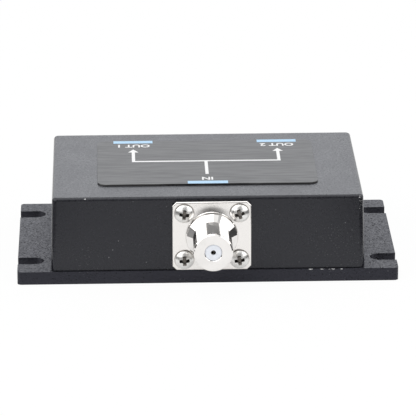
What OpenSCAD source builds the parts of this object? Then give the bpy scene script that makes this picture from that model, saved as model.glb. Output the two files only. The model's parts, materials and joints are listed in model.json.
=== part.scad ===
// Two-way radio-frequency power splitter: a painted die-cast box on a base plate with slotted ears,
// one threaded coaxial port at the front, two at the back, and a stripline divider board inside.
// Millimetres. The plate's underside is z = 0, the input port faces -Y and the outputs face +Y.

/* [Housing] */
// Width of the housing at its foot
box_w = 76; // [70:0.5:100]
// Depth of the housing from its front face to its back face
box_d = 49; // [44:0.5:70]
// Height of the housing above the base plate
box_h = 18.6; // [17:0.1:30]
// Lean of each side wall, in degrees
side_draft = 1.5; // [0:0.1:3]
// Radius of the upright corners
corner_r = 1.2; // [0.9:0.1:2]
// Radius along the edges of the roof
roof_edge_r = 0.8; // [0.4:0.1:0.9]
// Thickness of the side walls at the foot
side_wall = 3; // [2.2:0.1:4]
// Thickness of the front and back walls, which carry the ports
port_wall = 4.5; // [3.5:0.1:6]
// Thickness of the roof
roof_t = 2.4; // [1.6:0.1:3]

/* [Base plate] */
// Thickness of the base plate
plate_t = 3.2; // [2.4:0.1:5]
// Reach of each ear beyond the foot of the housing
ear_reach = 8.2; // [7.5:0.1:14]
// Width of the rim that the plate shows along the front and back
plate_rim = 0.5; // [0:0.1:1]
// Radius of the plate's corners
plate_corner_r = 1; // [0.5:0.1:3]
// Width of the open slots in the ears
slot_w = 4.6; // [4.2:0.1:5.6]
// Depth of a slot from the end of the ear to its round bottom
slot_depth = 6.4; // [5.5:0.1:7.4]
// Distance between the two slots of one ear
slot_pitch = 34; // [28:0.5:36]

/* [Cover screws] */
// Thread diameter of the screws that hold the base plate
cover_screw_d = 3; // [2.5:0.1:3.5]
// Length of a cover screw from the flat of its head
cover_screw_len = 10; // [8:0.5:14]
// Head diameter of a cover screw
cover_head_d = 5.6; // [5:0.1:6.4]
// Depth of the heads below the plate's underside
cover_head_sink = 0.2; // [0.1:0.05:0.4]
// Diameter of the corner bosses that take the cover screws
boss_d = 7; // [6:0.1:9]

/* [Nameplate] */
// Width of the nameplate
label_w = 53.7; // [40:0.1:64]
// Depth of the nameplate
label_d = 33.4; // [20:0.1:34]
// Thickness of the nameplate
label_t = 0.4; // [0.2:0.05:1]
// Corner radius of the nameplate
label_r = 2.2; // [0.5:0.1:4]
// Distance from the housing's front face to the nameplate
label_front = 8.8; // [4:0.1:9]
// Sideways offset of the nameplate
label_x = 0.3; // [-2:0.1:2]

/* [Ports] */
// Sideways offset of the input port
input_x = 0.9; // [-3:0.1:3]
// Distance between the two output ports
output_pitch = 36; // [26:0.5:38]
// Outer diameter of the threaded barrel
barrel_d = 9.4; // [9:0.1:10]
// Length of the threaded barrel
barrel_len = 8.7; // [6:0.1:10]
// Chamfer round the barrel's tip
tip_chamfer = 0.4; // [0.2:0.1:0.6]
// Step from the barrel out to the collar
collar_step = 1.4; // [1:0.1:1.5]
// Length of the plain collar
collar_len = 1.5; // [0.8:0.1:3]
// Length of the cone between the collar and the barrel
neck_len = 1.7; // [1.5:0.1:4]
// Thickness of the flange
flange_t = 1.2; // [0.8:0.1:2]
// Chamfer across the flange's corners
flange_chamfer = 1; // [0.5:0.1:1.5]
// Distance from a flange screw to the flange's upright edge
flange_margin_x = 2.9; // [2.6:0.1:3.5]
// Distance from a flange screw to the flange's top or bottom edge
flange_margin_z = 2.8; // [2.5:0.05:3.5]
// Gap between the flange and the base plate
flange_foot_gap = 0.3; // [0.2:0.05:1]
// Wall of the spigot that passes through the housing
spigot_wall = 0.9; // [0.6:0.1:1.5]

/* [Flange screws] */
// Thread diameter of the flange screws
flange_screw_d = 2.5; // [2:0.1:2.6]
// Head diameter of the flange screws
flange_head_d = 4.5; // [4:0.1:4.8]
// Height of the flange screws' heads
flange_head_h = 1.5; // [1:0.1:2]
// Gap between the screw heads and the collar
head_gap = 0.54; // [0.3:0.02:1]
// Angle of the screws above and below the port's centre line, in degrees
screw_angle = 41.6; // [40:0.1:46]
// Depth of wall left behind the tapped holes
blind_wall = 0.6; // [0.4:0.1:1]

/* [Insulators and contacts] */
// Diameter of the insulator inside the barrel
insulator_d = 6.6; // [5:0.1:7.2]
// Diameter of the hole in the barrel's front face
nose_d = 4.1; // [3:0.1:4.6]
// Thickness of the barrel's front face
nose_len = 1.2; // [0.8:0.1:2]
// Depth of the insulator's nose below the front face
nose_sink = 0.15; // [0.05:0.05:0.4]
// Outer diameter of the contact's socket
contact_d = 1.6; // [1.4:0.1:2.2]
// Diameter of the hole in the contact
contact_bore_d = 1.1; // [0.8:0.05:1.2]
// Depth of the hole in the contact
contact_bore_len = 6; // [4:0.5:9]
// Thickness of the insulator's lip in front of the contact
lip_t = 0.4; // [0.2:0.05:0.6]
// Diameter of the wire hole in the insulator's lip
lip_hole_d = 1.2; // [1.2:0.05:1.5]
// Diameter of the contact's shoulder
shoulder_d = 2.8; // [2.4:0.1:4]
// Thickness of the contact's shoulder
shoulder_t = 0.8; // [0.5:0.1:1.2]
// Diameter of the solder pin behind the shoulder
pin_d = 1.3; // [1:0.1:1.4]
// Length of the solder pin that lies over the board
pin_lap = 3.6; // [3:0.1:5]

/* [Divider board] */
// Thickness of the board
board_t = 1; // [0.6:0.1:1.6]
// Gap between the board and the walls
board_gap = 1; // [0.6:0.1:2]
// Thickness of the copper track
track_t = 0.1; // [0.05:0.05:0.2]
// Width of the feed and output lines
line_w = 1.9; // [1.4:0.1:2.4]
// Width of the track round the divider's rings
ring_w = 1; // [0.8:0.1:1.3]
// Number of rings, each ending in a resistor
ring_count = 3; // [2:1:3]
// Split between the two branches at a resistor
split_w = 0.8; // [0.6:0.1:1]
// Distance from the board's front edge to the first ring
feed_len = 5.2; // [4.8:0.1:6]
// Distance from the last resistor to the board's back edge
output_len = 5.6; // [5.2:0.1:7]
// Margin of bare board round the tracks
track_margin = 0.5; // [0.3:0.1:0.8]
// Length of an isolation resistor
resistor_l = 2; // [1.6:0.1:2.4]
// Width of an isolation resistor
resistor_w = 1.25; // [0.8:0.05:1.6]
// Height of an isolation resistor
resistor_h = 0.5; // [0.4:0.05:0.8]
// Radius of a solder joint
solder_r = 1.7; // [1.65:0.05:1.8]
// Solder between a pin and its track
solder_gap = 0.15; // [0.1:0.01:0.2]

/* [Board screws] */
// Thread diameter of the board screws
board_screw_d = 2.5; // [2:0.1:2.6]
// Head diameter of the board screws
board_head_d = 4.5; // [4:0.1:5]
// Height of the board screws' heads
board_head_h = 1.4; // [1:0.1:1.8]
// Length of a board screw's thread inside its post
board_screw_grip = 3.5; // [2:0.1:4]
// Diameter of the posts under the roof
post_d = 6; // [5:0.1:6.4]
// Distance from a board screw to the board's side edge
post_margin_x = 3.2; // [3.1:0.1:3.6]
// Distance from a board screw to the board's front or back edge
post_margin_y = 8; // [7:0.1:10]

/* [Hidden] */
$fn = 64;

// Radial clearance of pieces that are pressed, soldered or screwed together
fit_gap = 0.05;
// Radial clearance of pieces that drop into place
drop_gap = 0.15;
// Overrun of a cut past the face that it breaks
cut = 1;
// Run of a tapped hole past the end of its screw
drill_run = 0.5;
// Facets of a full turn, and of a quarter turn, on the blended outside of the housing
blend_fn = 32;
blend_steps = 8;
// Pan-head screws: height of the straight rim as a share of the head, and their cross recess
head_rim = 0.4;
recess_reach = 0.62;
recess_w = 0.16;
recess_depth = 0.55;

// Base plate and housing
plate_w = box_w + 2 * ear_reach;
plate_d = box_d + 2 * plate_rim;
box_lean = box_h * tan(side_draft);
top_z = plate_t + box_h;
roof_z = top_z - roof_t;
cavity_w = box_w - 2 * side_wall;
cavity_d = box_d - 2 * port_wall;
boss_x = cavity_w / 2 - boss_d / 2;
boss_y = cavity_d / 2 - boss_d / 2;
cover_screw_grip = cover_head_sink + cover_screw_len - plate_t;

// Port flange, from the barrel outwards
collar_d = barrel_d + 2 * collar_step;
screw_circle_d = collar_d + flange_head_d + 2 * head_gap;
screw_x = screw_circle_d / 2 * cos(screw_angle);
screw_z = screw_circle_d / 2 * sin(screw_angle);
flange_w = 2 * (screw_x + flange_margin_x);
flange_h = 2 * (screw_z + flange_margin_z);
spigot_d = insulator_d + 2 * spigot_wall;
thread_depth = port_wall - blind_wall;

// Distances along a port's axis, outwards from the housing's face
collar_end = flange_t + collar_len;
barrel_start = collar_end + neck_len;
port_reach = barrel_start + barrel_len;
nose_base = port_reach - nose_len;
nose_face = port_reach - nose_sink;
lip_back = nose_face - lip_t;
contact_mouth = lip_back - fit_gap;

// Places of the ports: sideways, and -1 for the front face or 1 for the back face
port_z = plate_t + flange_foot_gap + flange_h / 2;
INPUT = [input_x, -1];
OUTPUT_1 = [-output_pitch / 2, 1];
OUTPUT_2 = [output_pitch / 2, 1];
PORTS = [INPUT, OUTPUT_1, OUTPUT_2];

// Divider board, upside down below the roof with its tracks over the ports' pins
track_z = port_z + pin_d / 2 + solder_gap;
board_z = track_z + track_t;
board_top_z = board_z + board_t;
board_w = 2 * (boss_x - boss_d / 2 - board_gap);
board_d = cavity_d - 2 * board_gap;
post_x = board_w / 2 - post_margin_x;
post_y = board_d / 2 - post_margin_y;
pin_len = board_gap + pin_lap;
first_ring_y = -board_d / 2 + feed_len;
last_split_y = board_d / 2 - output_len;
ring_r = (last_split_y - first_ring_y) / (2 * ring_count);
pad_w = 2 * solder_r;
pad_len = pin_lap + track_margin;

PAINT = [0.10, 0.10, 0.11];
ANODISED = [0.20, 0.20, 0.22];
NICKEL = [0.88, 0.86, 0.83];
STEEL = [0.78, 0.77, 0.75];
WHITE = [0.93, 0.94, 0.97];
TIN = [0.80, 0.79, 0.77];
LAMINATE = [0.16, 0.34, 0.22];
COPPER = [0.72, 0.43, 0.24];
CERAMIC = [0.15, 0.15, 0.17];
SOLDER = [0.70, 0.70, 0.72];

// Points of a round stretch about a centre, from one angle to another
function arc(centre, r, from, to, steps) =
  [for (i = [0:steps]) let (a = from + (to - from) * i / steps) centre + r * [cos(a), sin(a)]];

// Middle of a ring, and the split that ends it, along the divider
function ring_y(k) = first_ring_y + ring_r * (2 * k + 1);
function split_y(k) = first_ring_y + 2 * ring_r * (k + 1);

module rounded_rect(w, d, r) {
  square([w - 2 * r, d], center = true);
  square([w, d - 2 * r], center = true);
  for (x = [-1, 1], y = [-1, 1])
    translate([x * (w / 2 - r), y * (d / 2 - r)]) circle(r);
}

// Repeats the children at the four corners of a rectangle about the middle
module at_corners(x, y) {
  for (i = [-1, 1], j = [-1, 1]) translate([i * x, j * y, 0]) children();
}

// Puts the children on a port: +Z runs outwards from the housing's face and +Y is up
module at_port(port) {
  translate([port[0], port[1] * box_d / 2, port_z])
    rotate([90, 0, port[1] > 0 ? 180 : 0]) children();
}

// Screw with a domed pan head and a cross recess: the head's seat is z = 0 and the thread runs down
module pan_screw(d, head_d, head_h, len) {
  dome_h = head_h * (1 - head_rim);
  dome_r = (head_d * head_d / 4 + dome_h * dome_h) / (2 * dome_h);
  difference() {
    union() {
      intersection() {
        cylinder(d = head_d, h = head_h);
        translate([0, 0, head_h - dome_r]) sphere(dome_r);
      }
      translate([0, 0, -len]) cylinder(d = d, h = len + head_h * head_rim);
    }
    translate([0, 0, head_h]) cross_recess(head_d, head_h * recess_depth);
  }
}

// Cut of a cross recess, sunk from z = 0
module cross_recess(head_d, depth) {
  for (turn = [0, 90])
    rotate(turn) translate([-head_d * recess_reach / 2, -head_d * recess_w / 2, -depth])
      cube([head_d * recess_reach, head_d * recess_w, depth + cut]);
}

// Top corner of the housing: a round post whose upper edge is rolled over
module roof_corner() {
  rotate_extrude($fn = blend_fn)
    polygon(concat(
      [[0, -roof_edge_r], [corner_r, -roof_edge_r]],
      arc([corner_r - roof_edge_r, -roof_edge_r], roof_edge_r, 0, 90, blend_steps),
      [[0, 0]]));
}

// Outside of the housing: its sides lean in, its front and back stand upright
module housing_blank() {
  hull() {
    translate([0, 0, plate_t])
      at_corners(box_w / 2 - corner_r, box_d / 2 - corner_r)
        cylinder(r = corner_r, h = roof_edge_r, $fn = blend_fn);
    translate([0, 0, top_z])
      at_corners(box_w / 2 - corner_r - box_lean, box_d / 2 - corner_r) roof_corner();
  }
}

// Corner boss with webs to the two walls that it stands against
module cover_boss() {
  cylinder(d = boss_d, h = roof_z - plate_t + roof_t / 2);
  translate([0, -boss_d / 2, 0]) cube([boss_d / 2 + side_wall / 2, boss_d, roof_z - plate_t]);
  translate([-boss_d / 2, 0, 0]) cube([boss_d, boss_d / 2 + port_wall / 2, roof_z - plate_t]);
}

module cover_bosses() {
  for (i = [0, 1], j = [0, 1])
    mirror([i, 0, 0]) mirror([0, j, 0]) translate([boss_x, boss_y, plate_t]) cover_boss();
}

module housing() {
  color(PAINT) difference() {
    union() {
      difference() {
        housing_blank();
        translate([-cavity_w / 2, -cavity_d / 2, plate_t - cut])
          cube([cavity_w, cavity_d, box_h - roof_t + cut]);
      }
      cover_bosses();
      at_corners(post_x, post_y)
        translate([0, 0, board_top_z]) cylinder(d = post_d, h = roof_z - board_top_z + roof_t / 2);
    }
    for (port = PORTS) at_port(port) {
      translate([0, 0, -port_wall - cut])
        cylinder(d = spigot_d + 2 * drop_gap, h = port_wall + 2 * cut);
      at_corners(screw_x, screw_z) translate([0, 0, -thread_depth])
        cylinder(d = flange_screw_d + 2 * fit_gap, h = thread_depth + cut);
    }
    at_corners(boss_x, boss_y) translate([0, 0, plate_t - cut])
      cylinder(d = cover_screw_d + 2 * fit_gap, h = cut + cover_screw_grip + drill_run);
    at_corners(post_x, post_y) translate([0, 0, board_top_z - cut])
      cylinder(d = board_screw_d + 2 * fit_gap, h = cut + board_screw_grip + drill_run);
  }
}

// Slot open at the end of an ear, with a round bottom
module ear_slot() {
  translate([-slot_depth + slot_w / 2, 0, -cut]) {
    cylinder(d = slot_w, h = plate_t + 2 * cut);
    translate([0, -slot_w / 2, 0]) cube([slot_depth - slot_w / 2 + cut, slot_w, plate_t + 2 * cut]);
  }
}

// Solid of a countersunk head with its thread, grown by a gap all round
module countersunk(gap, len) {
  head_h = (cover_head_d - cover_screw_d) / 2;
  cylinder(d1 = cover_head_d + 2 * gap, d2 = cover_screw_d + 2 * gap, h = head_h);
  cylinder(d = cover_screw_d + 2 * gap, h = len);
}

module base_plate() {
  color(PAINT) difference() {
    linear_extrude(plate_t) rounded_rect(plate_w, plate_d, plate_corner_r);
    for (side = [0, 1], y = [-1, 1])
      mirror([side, 0, 0]) translate([plate_w / 2, y * slot_pitch / 2, 0]) ear_slot();
    at_corners(boss_x, boss_y) {
      translate([0, 0, cover_head_sink]) countersunk(drop_gap, plate_t + cut);
      translate([0, 0, -cut]) cylinder(d = cover_head_d + 2 * drop_gap, h = cut + cover_head_sink);
    }
  }
}

module nameplate() {
  color(ANODISED)
    translate([label_x, label_front + label_d / 2 - box_d / 2, top_z])
      linear_extrude(label_t) rounded_rect(label_w, label_d, label_r);
}

// Rectangle with its four corners cut off
module flange_outline() {
  x = flange_w / 2;
  y = flange_h / 2;
  c = flange_chamfer;
  polygon([[x - c, -y], [x, c - y], [x, y - c], [x - c, y],
           [c - x, y], [-x, y - c], [-x, c - y], [c - x, -y]]);
}

// Turned and milled brass body: spigot, flange, collar, cone and threaded barrel in one piece
module connector_body() {
  color(NICKEL) difference() {
    union() {
      linear_extrude(flange_t) flange_outline();
      rotate_extrude() polygon([
        [0, -port_wall], [spigot_d / 2, -port_wall], [spigot_d / 2, flange_t],
        [collar_d / 2, flange_t], [collar_d / 2, collar_end],
        [barrel_d / 2, barrel_start], [barrel_d / 2, port_reach - tip_chamfer],
        [barrel_d / 2 - tip_chamfer, port_reach], [0, port_reach]]);
    }
    translate([0, 0, -port_wall - cut]) cylinder(d = insulator_d, h = nose_base + port_wall + cut);
    cylinder(d = nose_d, h = port_reach + cut);
    at_corners(screw_x, screw_z) translate([0, 0, -cut])
      cylinder(d = flange_screw_d + 2 * drop_gap, h = flange_t + 2 * cut);
  }
}

// Stepped bush: its nose fills the barrel's front hole, and a lip with the wire hole covers the contact
module insulator() {
  back = shoulder_t - port_wall;
  color(WHITE) rotate_extrude() polygon([
    [contact_d / 2 + fit_gap, back], [insulator_d / 2 - fit_gap, back],
    [insulator_d / 2 - fit_gap, nose_base], [nose_d / 2 - fit_gap, nose_base],
    [nose_d / 2 - fit_gap, nose_face], [lip_hole_d / 2, nose_face],
    [lip_hole_d / 2, lip_back], [contact_d / 2 + fit_gap, lip_back]]);
}

// Turned contact: socket at the front, shoulder behind the insulator, solder pin into the housing
module contact() {
  color(TIN) rotate_extrude() polygon([
    [0, -port_wall - pin_len], [pin_d / 2, -port_wall - pin_len], [pin_d / 2, -port_wall],
    [shoulder_d / 2, -port_wall], [shoulder_d / 2, shoulder_t - port_wall],
    [contact_d / 2, shoulder_t - port_wall], [contact_d / 2, contact_mouth],
    [contact_bore_d / 2, contact_mouth], [contact_bore_d / 2, contact_mouth - contact_bore_len],
    [0, contact_mouth - contact_bore_len]]);
}

module flange_screws() {
  color(STEEL) at_corners(screw_x, screw_z) translate([0, 0, flange_t])
    pan_screw(flange_screw_d, flange_head_d, flange_head_h, flange_t + thread_depth - drill_run);
}

module circuit_board() {
  color(LAMINATE) difference() {
    translate([-board_w / 2, -board_d / 2, board_z]) cube([board_w, board_d, board_t]);
    at_corners(post_x, post_y) translate([0, 0, board_z - cut])
      cylinder(d = board_screw_d + 2 * drop_gap, h = board_t + 2 * cut);
  }
}

// Solder pad at a port's pin, from the board's edge inwards
module port_pad(port) {
  inner = port[1] * (board_d / 2 - track_margin - pad_len);
  translate([port[0] - pad_w / 2, min(inner, inner + port[1] * pad_len)]) square([pad_w, pad_len]);
}

// Line from the last split sideways and then back to an output pad, mitred at its bend
module output_line(port) {
  side = sign(port[0]);
  run = abs(port[0] - input_x);
  difference() {
    union() {
      translate([side > 0 ? input_x : port[0] - line_w / 2, last_split_y - line_w / 2])
        square([run + line_w / 2, line_w]);
      translate([port[0] - line_w / 2, last_split_y - line_w / 2])
        square([line_w, output_len - track_margin + line_w / 2]);
    }
    translate([port[0] + side * line_w / 2, last_split_y - line_w / 2])
      rotate(45) square(line_w, center = true);
  }
}

// Chain of rings that splits the feed line into two matched branches
module divider_pattern() {
  translate([input_x - line_w / 2, -board_d / 2 + track_margin])
    square([line_w, feed_len - track_margin + ring_w / 2]);
  for (port = PORTS) port_pad(port);
  difference() {
    union() {
      for (k = [0:ring_count - 1]) translate([input_x, ring_y(k)]) difference() {
        circle(ring_r + ring_w / 2);
        circle(ring_r - ring_w / 2);
      }
      output_line(OUTPUT_1);
      output_line(OUTPUT_2);
    }
    for (k = [0:ring_count - 1])
      translate([input_x, split_y(k)]) square([split_w, 2 * line_w], center = true);
  }
}

module divider_track() {
  color(COPPER) translate([0, 0, track_z]) linear_extrude(track_t) divider_pattern();
}

module isolation_resistors() {
  color(CERAMIC) for (k = [0:ring_count - 1])
    translate([input_x - resistor_l / 2, split_y(k) - resistor_w / 2, track_z - resistor_h])
      cube([resistor_l, resistor_w, resistor_h]);
}

// Bead of solder that holds a port's pin against its pad
module solder_joint() {
  middle = -port_wall - pin_len + pin_lap / 2;
  difference() {
    translate([0, track_z - port_z, middle]) intersection() {
      sphere(solder_r);
      translate([-solder_r, -2 * solder_r, -solder_r]) cube(2 * solder_r);
    }
    translate([0, 0, middle - 2 * solder_r])
      cylinder(d = pin_d + 2 * fit_gap, h = 4 * solder_r);
  }
}

module solder_joints() {
  color(SOLDER) for (port = PORTS) at_port(port) solder_joint();
}

module board_screws() {
  color(STEEL) at_corners(post_x, post_y) translate([0, 0, board_z]) mirror([0, 0, 1])
    pan_screw(board_screw_d, board_head_d, board_head_h, board_t + board_screw_grip);
}

module cover_screws() {
  color(STEEL) at_corners(boss_x, boss_y) translate([0, 0, cover_head_sink]) difference() {
    countersunk(0, cover_screw_len);
    mirror([0, 0, 1]) cross_recess(cover_head_d, (cover_head_d - cover_screw_d) / 2 * recess_depth);
  }
}

housing();
base_plate();
nameplate();
at_port(INPUT) connector_body();  // input_connector_body
at_port(INPUT) insulator();  // input_insulator
at_port(INPUT) contact();  // input_contact
at_port(INPUT) flange_screws();  // input_flange_screws
at_port(OUTPUT_1) connector_body();  // output_1_connector_body
at_port(OUTPUT_1) insulator();  // output_1_insulator
at_port(OUTPUT_1) contact();  // output_1_contact
at_port(OUTPUT_1) flange_screws();  // output_1_flange_screws
at_port(OUTPUT_2) connector_body();  // output_2_connector_body
at_port(OUTPUT_2) insulator();  // output_2_insulator
at_port(OUTPUT_2) contact();  // output_2_contact
at_port(OUTPUT_2) flange_screws();  // output_2_flange_screws
circuit_board();
divider_track();
isolation_resistors();
solder_joints();
board_screws();
cover_screws();
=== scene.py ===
# %% [markdown]
# # A two-way radio-frequency power splitter
# A low black box stands on a plate with slotted ears. One bright coaxial port is screwed to its front and two to
# its back, and a dark brushed nameplate lies on the roof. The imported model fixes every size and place, so it is
# loaded first, and each piece below is modelled over the solid that it stands for.

# %% Load the frame
import json
import math
from contextlib import contextmanager

import bmesh
import bpy
from mathutils import Matrix, Vector


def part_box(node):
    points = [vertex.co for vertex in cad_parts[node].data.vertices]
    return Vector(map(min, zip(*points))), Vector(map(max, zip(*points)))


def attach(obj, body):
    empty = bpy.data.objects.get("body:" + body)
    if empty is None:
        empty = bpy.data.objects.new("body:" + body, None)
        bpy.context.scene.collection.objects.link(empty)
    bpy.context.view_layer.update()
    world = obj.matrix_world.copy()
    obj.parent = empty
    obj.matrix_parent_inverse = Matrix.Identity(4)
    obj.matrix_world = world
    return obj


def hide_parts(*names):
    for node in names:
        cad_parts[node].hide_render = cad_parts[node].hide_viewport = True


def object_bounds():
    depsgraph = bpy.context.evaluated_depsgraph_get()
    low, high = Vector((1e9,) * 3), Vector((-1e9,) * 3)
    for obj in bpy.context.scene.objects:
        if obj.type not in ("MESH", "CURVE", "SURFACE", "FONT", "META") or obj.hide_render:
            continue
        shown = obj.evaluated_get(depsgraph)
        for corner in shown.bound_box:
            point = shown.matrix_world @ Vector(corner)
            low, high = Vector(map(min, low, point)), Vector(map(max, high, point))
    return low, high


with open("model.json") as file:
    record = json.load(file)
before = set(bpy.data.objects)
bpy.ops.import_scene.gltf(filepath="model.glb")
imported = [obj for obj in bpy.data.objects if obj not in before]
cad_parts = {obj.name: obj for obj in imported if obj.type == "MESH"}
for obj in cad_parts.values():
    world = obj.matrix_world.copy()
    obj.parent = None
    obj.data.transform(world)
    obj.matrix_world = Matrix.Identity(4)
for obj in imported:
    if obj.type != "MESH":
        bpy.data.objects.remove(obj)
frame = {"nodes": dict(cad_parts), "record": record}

MM = 0.001
cad_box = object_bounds()
scene = bpy.context.scene
print("frame:", len(frame["nodes"]), "nodes,", [round(s / MM, 1) for s in cad_box[1] - cad_box[0]], "mm")

# %% [markdown]
# ## The camera
# The photograph was taken from a little above the front, from far away, so the box hardly narrows to the back.
# A camera could be turned by eye until it fits. Here its angles, distance and focal length come from the box's
# corners and slots in the photograph, so they are written as numbers and the axes are worked out from them.

# %% Camera
VIEW_ELEVATION = math.radians(19.46)
VIEW_AZIMUTH = math.radians(-1.707)
VIEW_ROLL = math.radians(-0.131)
VIEW_DISTANCE = 873.8 * MM
AIM = Vector((0.739, 0, 10.316)) * MM
FOCAL_PIXELS = 3521.6
IMAGE_PIXELS = 416

back = Vector((math.sin(VIEW_AZIMUTH) * math.cos(VIEW_ELEVATION),
               -math.cos(VIEW_AZIMUTH) * math.cos(VIEW_ELEVATION), math.sin(VIEW_ELEVATION)))
level = Vector((math.cos(VIEW_AZIMUTH), math.sin(VIEW_AZIMUTH), 0))
right = math.cos(VIEW_ROLL) * level + math.sin(VIEW_ROLL) * back.cross(level)


def add(operator, **settings):
    """Add one object with nothing else selected."""
    bpy.ops.object.select_all(action="DESELECT")
    operator(**settings)
    return bpy.context.object


camera = add(bpy.ops.object.camera_add)
camera.data.lens = camera.data.sensor_width * FOCAL_PIXELS / IMAGE_PIXELS
camera.matrix_world = (Matrix.Translation(AIM + back * VIEW_DISTANCE)
                       @ Matrix((right, back.cross(right), back)).transposed().to_4x4())
scene.camera = camera
print("camera: lens", round(camera.data.lens, 1), "mm")

# %% [markdown]
# ## Shader sums as Python
# A finish is a tree of nodes. Clicking nodes together is slow to read back, so a wire here stands for one output
# socket, and a sum written with wires adds the Math nodes.

# %% Wires
class Wire:
    """One output socket of a node tree, which can be used in sums."""

    def __init__(self, tree, socket):
        self.tree = tree
        self.socket = socket

    def sum(self, operation, first, second):
        return self.tree.node("ShaderNodeMath", {"operation": operation}, {0: first, 1: second})

    def __add__(self, other):
        return self.sum("ADD", self, other)

    def __sub__(self, other):
        return self.sum("SUBTRACT", self, other)

    def __rsub__(self, other):
        return self.sum("SUBTRACT", other, self)

    def __mul__(self, other):
        return self.sum("MULTIPLY", self, other)

    def __or__(self, other):
        return self.sum("MAXIMUM", self, other)

    __radd__ = __add__
    __rmul__ = __mul__


print("wires ready for sums")

# %% [markdown]
# Every other node comes from one method of a tree, which takes the node's type, its settings and what goes into its
# sockets. The methods after it only give short names to the nodes that most finishes need.

# %% Trees
class Tree:
    """The nodes of a material or of the world, written from nothing."""

    def __init__(self, owner):
        owner.use_nodes = True
        self.nodes = owner.node_tree.nodes
        self.links = owner.node_tree.links
        self.nodes.clear()

    def node(self, kind, settings=(), sockets=(), out=0):
        """Add a node, set it up, fill its sockets with wires or values, and give one of its outputs."""
        made = self.nodes.new(kind)
        for name, value in dict(settings).items():
            setattr(made, name, value)
        for name, value in dict(sockets).items():
            if isinstance(value, Wire):
                self.links.new(value.socket, made.inputs[name])
            else:
                made.inputs[name].default_value = value
        return Wire(self, made.outputs[out]) if made.outputs else None

    def place(self):
        return self.node("ShaderNodeTexCoord", out="Object")

    def stretched(self, scale, at=None):
        return self.node("ShaderNodeMapping", sockets={"Vector": at or self.place(), "Scale": scale})

    def noise(self, at, scale, detail=2.0):
        return self.node("ShaderNodeTexNoise", sockets={"Vector": at, "Scale": scale, "Detail": detail})

    def ramp(self, value, low, high):
        """0 at low and 1 at high, with a soft change between them."""
        sockets = {0: value, 1: min(low, high), 2: max(low, high), 3: float(low > high), 4: float(low < high)}
        return self.node("ShaderNodeMapRange", {"interpolation_type": "SMOOTHSTEP"}, sockets)

    def spot(self, at, centre, radius, core=0.5):
        """1 near a place, falling to 0 at a distance from it."""
        away = self.node("ShaderNodeVectorMath", {"operation": "DISTANCE"}, {0: at, 1: centre}, out="Value")
        return self.ramp(away, radius, core * radius)

    def mix(self, first, second, share):
        """A colour between two others."""
        return self.node("ShaderNodeMix", {"data_type": "RGBA"}, {0: share, 6: first, 7: second}, out=2)

    def bump(self, height, depth, under=None):
        sockets = {"Height": height, "Distance": depth}
        return self.node("ShaderNodeBump", sockets=sockets | ({"Normal": under} if under else {}))


def grey(level):
    return (level, level, level, 1.0)


print("trees ready to grow")

# %% [markdown]
# ## The studio
# The object stands on a white sweep. The white that the camera and the metal see comes from the world and the floor
# by Light Path, so the lamps can stay at a plain level. In the metal, the floor below the front port keeps some of
# the soft shadow that lies there, or the lower edge of the flange would be lost in white.

# %% World and floor
WORLD_LIGHT = 0.6
FLOOR_GLOW = 0.95
FLOOR_WHITE = 0.9
FLOOR_SIZE = 6.0
SHADE_PLACE = (0.9 * MM, -38 * MM, 0)
SHADE_RADIUS = 26 * MM
SHADE_CORE = 0.4
SHADE_DEPTH = 0.8


def seen_rays(tree):
    """1 for the rays by which the camera, metal and glass look at the background."""
    camera_ray = tree.node("ShaderNodeLightPath", out="Is Camera Ray")
    outputs = camera_ray.socket.node.outputs
    return camera_ray | Wire(tree, outputs["Is Glossy Ray"]) | Wire(tree, outputs["Is Transmission Ray"])


scene.view_settings.view_transform = "Standard"
scene.world = bpy.data.worlds.new("studio")
tree = Tree(scene.world)
strength = WORLD_LIGHT + (1 - WORLD_LIGHT) * seen_rays(tree)
sky = tree.node("ShaderNodeBackground", sockets={"Color": grey(1.0), "Strength": strength})
tree.node("ShaderNodeOutputWorld", sockets={"Surface": sky})

floor = add(bpy.ops.mesh.primitive_plane_add, size=FLOOR_SIZE, location=(0, 0, cad_box[0].z))
floor.name = "floor"
floor_finish = bpy.data.materials.new("white_sweep")
tree = Tree(floor_finish)
matte = tree.node("ShaderNodeBsdfDiffuse", sockets={"Color": grey(FLOOR_WHITE)})
glow = tree.node("ShaderNodeEmission", sockets={"Color": grey(1.0)})
mirrored = tree.node("ShaderNodeLightPath", out="Is Glossy Ray")
shade = SHADE_DEPTH * mirrored * tree.spot(tree.place(), SHADE_PLACE, SHADE_RADIUS, SHADE_CORE)
share = FLOOR_GLOW * seen_rays(tree) * (1 - shade)
mixed = tree.node("ShaderNodeMixShader", sockets={0: share, 1: matte, 2: glow})
tree.node("ShaderNodeOutputMaterial", sockets={"Surface": mixed})
floor.data.materials.append(floor_finish)
print("world and floor ready")

# %% [markdown]
# Two large soft lamps stand at the sides, a third one hangs overhead, and the cool sheen of one behind lies on the
# roof. They are rectangles of even brightness, as soft boxes are, so a lamp is given by its radiance, and its power
# follows from its size.

# %% Lamps
LAMP_LEVEL = 1.12
REAR_LEVEL = 0.86
REAR_COLOUR = (0.88, 0.92, 1.0)
BENCH = Vector((0, 0, 0.012))


def face_bench(thing, place):
    thing.location = place
    thing.rotation_euler = (Vector(place) - BENCH).to_track_quat("Z", "Y").to_euler()


def soft_lamp(name, place, size, level, colour=(1, 1, 1)):
    """A rectangular lamp of even brightness that faces the object."""
    lamp = add(bpy.ops.object.light_add, type="AREA")
    lamp.name = name
    lamp.data.shape = "RECTANGLE"
    lamp.data.size, lamp.data.size_y = size
    lamp.data.energy = level * math.pi * size[0] * size[1]
    lamp.data.color = colour
    face_bench(lamp, place)
    lamp.visible_camera = False
    print(name, "of radiance", level)


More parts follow.
